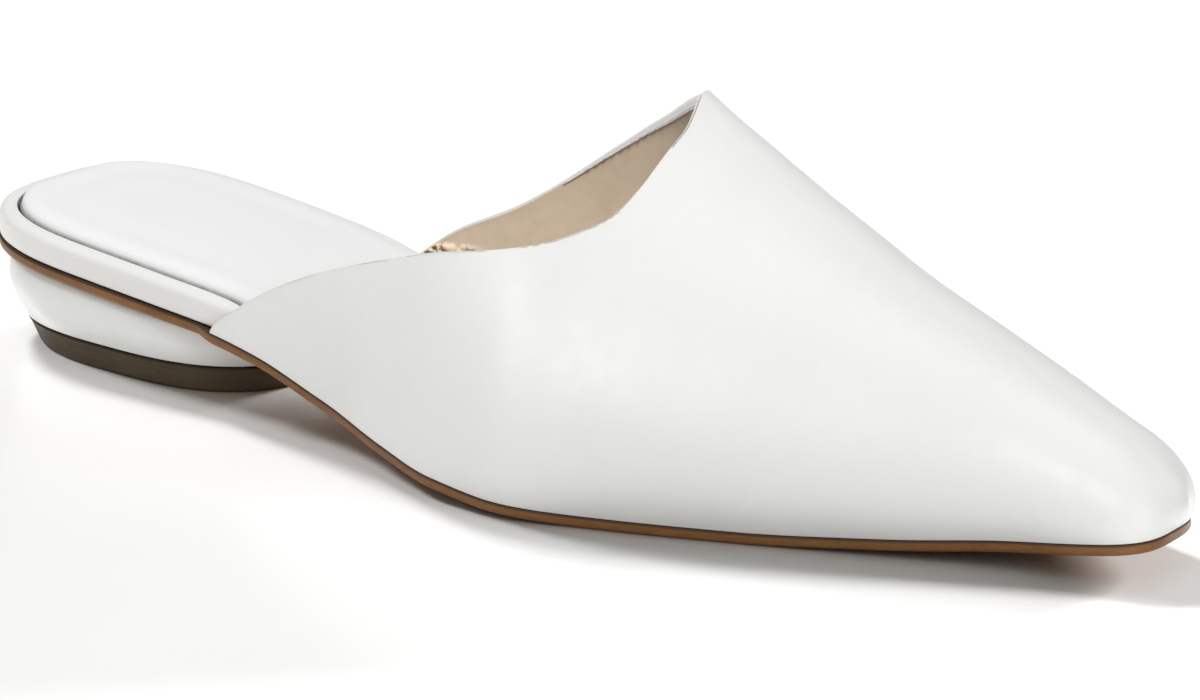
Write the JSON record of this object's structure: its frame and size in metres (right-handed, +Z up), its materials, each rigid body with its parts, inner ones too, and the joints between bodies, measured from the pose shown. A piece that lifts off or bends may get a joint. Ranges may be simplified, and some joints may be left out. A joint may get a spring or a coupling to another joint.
{
  "type": "pointed mule shoe",
  "caption": "Backless pointed leather mule for the right foot, with a low oval heel and an open heel seat.",
  "frame": {"origin": "on the floor, under the middle of the shoe's own box", "axes": "+X from the heel to the toe along the heel seat's centre line, +Y towards the big-toe side, +Z up"},
  "size_m": [0.2624, 0.079, 0.0679],
  "materials": {
    "upper_leather": "smooth white leather with a fine grain and a soft sheen",
    "sock_leather": "smooth white lining leather over thin foam",
    "heel_leather": "smooth white leather drawn over the heel",
    "lining": "matt tan lining leather",
    "stitching": "white thread",
    "sole_leather": "brown sole with a dyed upper edge",
    "insole_board": "pressed fibre board",
    "heel_rubber": "dark brown matt rubber"
  },
  "bodies": {
    "root": {"outsole": "sole_leather", "insole": "insole_board", "sock_pad": "sock_leather", "rand": "upper_leather", "upper": "upper_leather", "heel_block": "heel_leather", "heel_tip": "heel_rubber"}
  },
  "joints": []
}
